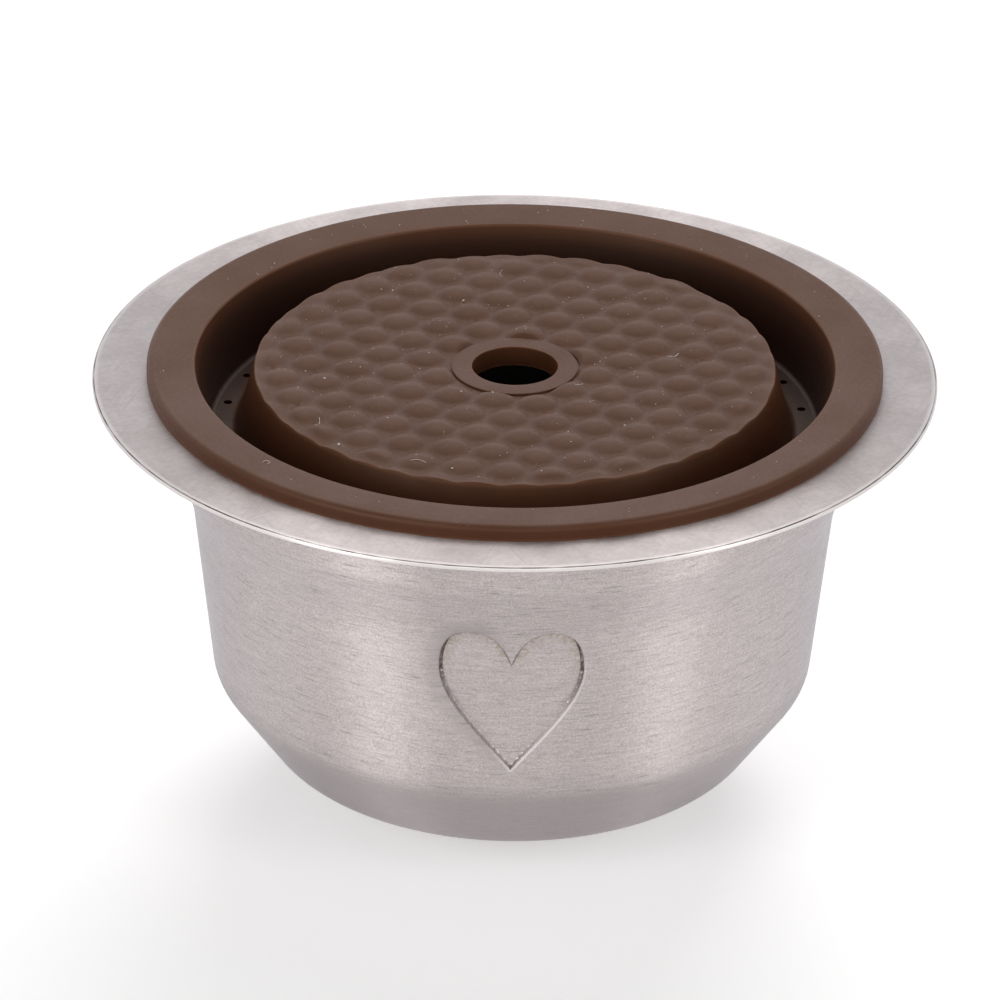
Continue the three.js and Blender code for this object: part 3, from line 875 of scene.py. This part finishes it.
def silicone_lid(material):
    """The lid's turned section, its boss top lifted into domes and its trough drilled."""
    angles = [math.tau * i / LID_COLUMNS for i in range(LID_COLUMNS)]
    boss_top = CUP_HEIGHT + BOSS_HEIGHT
    rows = divided(lid_section(), lambda z: DOME_ROW if abs(z - boss_top) < 1e-7 else LID_ROW)[:-1]
    mesh = turned_mesh("lid_moulding", rows, angles, closed=True)
    weigh_domes(mesh)
    mesh.materials.append(material)
    piece = placed(mesh)
    apply_group(piece, dome_group(material), {"Pitch": DOME_PITCH, "Height": DOME_HEIGHT})
    apply_group(piece, drain_group(material), {
        "Ring Radius": (TROUGH_OUTER_RADIUS + TROUGH_INNER_RADIUS) / 2,
        "Height": CUP_HEIGHT - TROUGH_DEPTH - SKIN / 2,
        "Length": SKIN * 2,
    })
    smoothed(piece.data)
    return piece


# Dust and lint on the lid

# Larger crumbs, and fibres by place, heading, length and bend. Places and lengths are in millimetres.
CRUMBS = [
    (-9.2, 12.8), (-10.3, 15.0), (-3.9, 11.0), (-13.9, -3.0), (-15.8, -4.2), (-1.6, -5.0), (-3.9, -4.8),
    (5.4, 13.6), (-4.4, -16.9), (2.0, -17.4), (3.9, -10.6), (8.0, -9.6), (11.9, 2.3), (-12.6, -13.2),
]
FIBRES = [
    (4.4, -3.6, 0.5, 1.3, 1.2), (-7.4, -16.0, 0.2, 1.2, -0.9), (-17.6, -17.3, 0.3, 1.1, 4.6),
    (-14.2, -9.8, 1.1, 0.9, 0.8), (11.2, 2.1, -0.4, 1.0, 1.5), (-1.0, 15.2, 2.4, 1.1, -1.6),
]
FIBRE_RADIUS = 0.022 * MM
DUST_RADIUS = 0.05 * MM


def lid_height_at(x, y):
    """Height of the lid's top at a place, for what lies on it."""
    radius = math.hypot(x, y)
    if radius > RIM_INNER_RADIUS:
        share = (radius - RIM_INNER_RADIUS) / (RIM_RADIUS - RIM_INNER_RADIUS)
        return CUP_HEIGHT + RIM_HEIGHT - RIM_DISH * (1 - share)
    if radius < RING_RADIUS:
        return CUP_HEIGHT + BOSS_HEIGHT + RING_HEIGHT
    c, s = math.cos(-DOME_ROW_ANGLE), math.sin(-DOME_ROW_ANGLE)
    x, y = x - DOME_ORIGIN[0], y - DOME_ORIGIN[1]
    u, v = c * x - s * y, s * x + c * y
    across = DOME_PITCH * math.sqrt(3)
    near = []
    for shift in (0.0, 0.5):
        du = u / DOME_PITCH + shift
        dv = v / across + shift
        near.append(math.hypot((du - round(du)) * DOME_PITCH, (dv - round(dv)) * across))
    share = min(min(near) / DOME_REACH, 1.0)
    return CUP_HEIGHT + BOSS_HEIGHT + DOME_HEIGHT * (1 - share ** 2) ** DOME_POWER


def dust_points(count, seed):
    """Places for dust: over the domes, a few on the rim, and more along its front edge."""
    random = np.random.default_rng(seed)
    highest = LID_HIGH[2] - 1.3 * DUST_RADIUS
    points = []
    for i in range(count):
        angle = random.uniform(0, math.tau)
        if i % 6 == 0:
            radius = RIM_INNER_RADIUS + random.uniform(0.1, 0.8) * (RIM_RADIUS - RIM_INNER_RADIUS)
        elif i % 6 == 3:
            radius = RIM_RADIUS - RIM_ROUND * random.uniform(0.75, 1.3)
            angle = random.uniform(math.radians(-125), math.radians(-40))
        else:
            radius = math.sqrt(random.uniform((RING_RADIUS * 1.1) ** 2, (BOSS_RADIUS * 0.97) ** 2))
        x, y = radius * math.cos(angle), radius * math.sin(angle)
        points.append((x, y, min(lid_height_at(x, y), highest)))
    return points


def grains(name, points, radius, seed, material):
    mesh = bpy.data.meshes.new(name)
    mesh.from_pydata(points, [], [])
    piece = placed(mesh)
    apply_group(piece, grain_group(material), {"Grain Radius": radius, "Seed": seed})
    smoothed(piece.data, math.pi)
    return piece


def fibre_path(x, y, heading, length, bend, steps=8):
    """Points along a short bent fibre that lies on the lid."""
    points = []
    for i in range(steps + 1):
        points.append((x, y, lid_height_at(x, y) + FIBRE_RADIUS))
        turn = heading + bend * (i + 0.5) / steps
        x, y = x + math.cos(turn) * length / steps, y + math.sin(turn) * length / steps
    return points


def fibre_group(material):
    """Gives every line a thin round section."""
    group, tree, given, output = geometry_group("fibres", [("Fibre Radius", "Float", FIBRE_RADIUS)])
    lines = tree.add("GeometryNodeMeshToCurve", {"Mesh": given.outputs["Geometry"]})
    ring = tree.add("GeometryNodeCurvePrimitiveCircle", {"Resolution": 6,
                                                         "Radius": given.outputs["Fibre Radius"]})
    tubes = tree.add("GeometryNodeCurveToMesh", {"Curve": lines.outputs[0], "Profile Curve": ring.outputs[0],
                                                 "Fill Caps": True})
    finish_group(tree, tubes.outputs[0], material, output)
    return group


def lint(material):
    verts, edges = [], []
    for x, y, heading, length, bend in FIBRES:
        path = fibre_path(x * MM, y * MM, heading, length * MM, bend)
        edges += [(len(verts) + i, len(verts) + i + 1) for i in range(len(path) - 1)]
        verts += path
    mesh = bpy.data.meshes.new("lid_lint")
    mesh.from_pydata(verts, edges, [])
    piece = placed(mesh)
    apply_group(piece, fibre_group(material), {"Fibre Radius": FIBRE_RADIUS})
    smoothed(piece.data, math.pi)
    return piece


# Lights, floor and camera

def area_light(name, azimuth, elevation, distance, width, height, radiance, mirrored=True, lights=True):
    """A soft lamp round the pod, with azimuth 0 in front, and the radiance that it shows as.

    The steel doesn't mirror a lamp without mirrored, and only mirrors one without lights.
    """
    azimuth, elevation = math.radians(azimuth), math.radians(elevation)
    light = bpy.data.lights.new(name, "AREA")
    light.shape = "RECTANGLE"
    light.size, light.size_y = width, height
    light.energy = radiance * math.pi * width * height
    lamp = bpy.data.objects.new(name, light)
    lamp.visible_glossy, lamp.visible_diffuse = mirrored, lights
    bpy.context.scene.collection.objects.link(lamp)
    aim = Vector((0, 0, CUP_HEIGHT / 2))
    away = Vector((math.sin(azimuth) * math.cos(elevation), -math.cos(azimuth) * math.cos(elevation),
                   math.sin(elevation)))
    lamp.location = aim + away * distance
    lamp.rotation_euler = (-away).to_track_quat("-Z", "Y").to_euler()


def seen_or_mirrored(tree):
    """One for what is seen directly, in a reflection or through glass, zero for light on a surface."""
    path = tree.add("ShaderNodeLightPath").outputs
    direct = tree.math("MAXIMUM", path["Is Camera Ray"], path["Is Glossy Ray"])
    return tree.math("MAXIMUM", direct, path["Is Transmission Ray"])


def white_world(diffuse_strength):
    """White behind the pod and in its reflections, softer as a light."""
    world = bpy.data.worlds.new("soft_white")
    bpy.context.scene.world = world
    world.use_nodes = True
    tree = Tree(world.node_tree)
    tree.tree.nodes.clear()
    strength = spread(tree, seen_or_mirrored(tree), 0.0, 1.0, diffuse_strength, 1.0)
    back = tree.add("ShaderNodeBackground", {"Color": (1, 1, 1, 1), "Strength": strength})
    output = tree.add("ShaderNodeOutputWorld")
    tree.link(back.outputs[0], output.inputs[0])


def floor():
    """Plain pale floor: white to the eye, with the pod's shadow kept."""
    mesh = bpy.data.meshes.new("floor")
    half = 2.5
    corners = [(-half, -half, 0), (half, -half, 0), (half, half, 0), (-half, half, 0)]
    mesh.from_pydata(corners, [], [(0, 1, 2, 3)])
    plane = placed(mesh)
    material = bpy.data.materials.new("pale_floor")
    material.use_nodes = True
    tree = Tree(material.node_tree)
    tree.tree.nodes.clear()
    matt = tree.add("ShaderNodeBsdfDiffuse", {"Color": (0.86, 0.86, 0.86, 1)})
    glow = tree.add("ShaderNodeEmission", {"Strength": tree.math("MULTIPLY", seen_or_mirrored(tree), 0.40)})
    both = tree.add("ShaderNodeAddShader", {0: matt.outputs[0], 1: glow.outputs[0]})
    output = tree.add("ShaderNodeOutputMaterial")
    tree.link(both.outputs[0], output.inputs[0])
    mesh.materials.append(material)


# The photograph's view: distance to the middle of the flange, and where that middle lies in the frame.
VIEW_DISTANCE = 0.600
VIEW_ELEVATION = math.radians(26.25)
VIEW_ROLL = math.radians(0.65)
FOCAL_PIXELS = 8174.0
FRAME_PIXELS = 1000.0
AIM_PIXEL = (513.4, 372.3)
SENSOR = 36.0


def camera():
    """Stands where the photograph was taken from, turned so that the flange's middle falls on AIM_PIXEL."""
    data = bpy.data.cameras.new("view")
    data.sensor_fit, data.sensor_width = "HORIZONTAL", SENSOR
    data.lens = FOCAL_PIXELS / FRAME_PIXELS * SENSOR
    data.clip_start, data.clip_end = 0.01, 20
    back = Vector((0, -math.cos(VIEW_ELEVATION), math.sin(VIEW_ELEVATION)))
    right, ahead = Vector((1, 0, 0)), -back
    up = right.cross(ahead)
    yaw = math.atan((FRAME_PIXELS / 2 - AIM_PIXEL[0]) / FOCAL_PIXELS)
    pitch = math.atan((FRAME_PIXELS / 2 - AIM_PIXEL[1]) / FOCAL_PIXELS)

    def swung(a, b, angle):
        return a * math.cos(angle) + b * math.sin(angle), b * math.cos(angle) - a * math.sin(angle)
    ahead, right = swung(ahead, right, yaw)
    ahead, up = swung(ahead, up, -pitch)
    right, up = swung(right, up, VIEW_ROLL)
    view = bpy.data.objects.new("view", data)
    bpy.context.scene.collection.objects.link(view)
    turn = Matrix((right, up, -ahead)).transposed().to_4x4()
    view.matrix_world = Matrix.Translation(Vector((0, 0, CUP_HEIGHT)) + back * VIEW_DISTANCE) @ turn
    bpy.context.scene.camera = view


def main():
    camera()
    floor()
    white_world(0.22)
    area_light("top_softbox", 180, 60, 0.9, 0.7, 0.5, 1.4)
    area_light("relief_softbox", 168, 34, 0.8, 0.45, 0.3, 7.5, mirrored=False)
    area_light("left_softbox", -46, 22, 0.6, 0.25, 0.45, 3.5)
    area_light("right_softbox", 56, 22, 0.6, 0.19, 0.45, 3.1)
    area_light("front_softbox", 0, 16, 0.75, 0.5, 0.28, 1.2, lights=False)

    cup = steel_cup(brushed_wall(), mottled_flange(), dull_inside())
    lid = silicone_lid(matt_silicone())
    pale = pale_grain()
    crumbs = [(x * MM, y * MM, lid_height_at(x * MM, y * MM)) for x, y in CRUMBS]
    litter = [
        grains("lid_dust", dust_points(240, 11), DUST_RADIUS, 7, pale),
        grains("lid_crumbs", crumbs, 0.10 * MM, 3, pale),
        lint(pale),
    ]
    for piece in (cup, lid, *litter):
        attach(piece, "root")
    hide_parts("steel_cup")
    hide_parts("silicone_lid")


main()
bpy.context.scene.view_settings.view_transform = "Standard"
